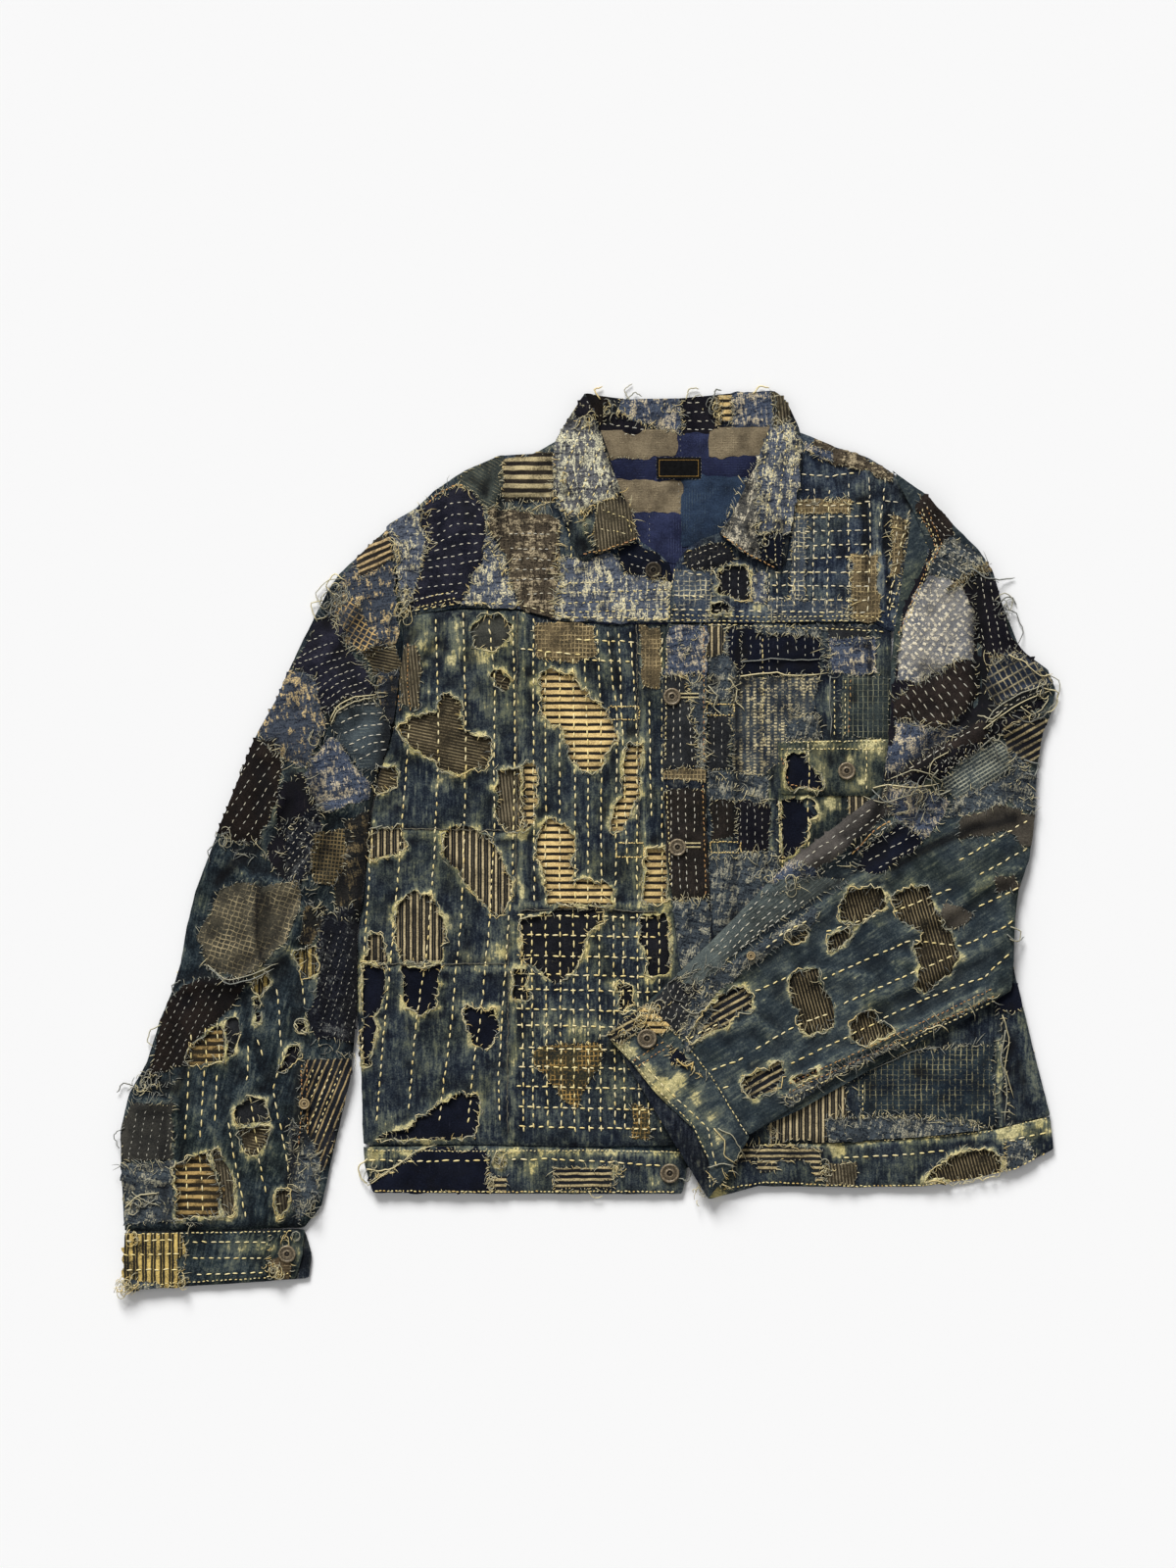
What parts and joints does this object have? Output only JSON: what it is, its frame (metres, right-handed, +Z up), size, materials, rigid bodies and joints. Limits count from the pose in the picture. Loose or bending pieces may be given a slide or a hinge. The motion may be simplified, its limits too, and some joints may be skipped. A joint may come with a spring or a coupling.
{
  "type": "patched boro denim jacket, laid flat",
  "caption": "Patched and torn boro denim jacket laid flat, front up, fastened at two buttons, left sleeve folded over the front.",
  "frame": {"origin": "on the surface it lies on, at the centre of its overall length and width", "axes": "+Z up off the surface, +Y towards the collar, +X towards the wearer's left"},
  "size_m": [0.857, 0.821, 0.0202],
  "materials": {
    "button_metal": "aged matt",
    "dark_boro": "dark stitched cotton",
    "denim": "worn indigo, sashiko stitched",
    "label": "woven, bare",
    "lining": "patchwork cotton",
    "pale_boro": "worn pale boro weave"
  },
  "bodies": {
    "root": {"back_hem_band": "denim", "back_panel": "denim", "back_yoke": "denim", "button_cuff_left": "button_metal", "button_cuff_right": "button_metal", "button_flap": "button_metal", "button_front_1": "button_metal", "button_front_2": "button_metal", "button_hem": "button_metal", "button_neck": "button_metal", "button_sleeve_left": "button_metal", "button_sleeve_right": "button_metal", "chest_pocket": "denim", "collar_back": "dark_boro", "collar_leaf_left": "pale_boro", "collar_leaf_right": "pale_boro", "cuff_left_top": "denim", "cuff_left_under": "denim", "cuff_right_top": "denim", "cuff_right_under": "denim", "front_left": "denim", "front_right": "denim", "front_yoke_left": "pale_boro", "front_yoke_right": "pale_boro", "hem_band_left": "denim", "hem_band_right": "denim", "neck_label": "label", "neck_lining": "lining", "placket_left": "dark_boro", "pocket_flap": "denim", "sleeve_left_top": "denim", "sleeve_left_under": "denim", "sleeve_right_top": "denim", "sleeve_right_under": "denim"}
  },
  "joints": []
}
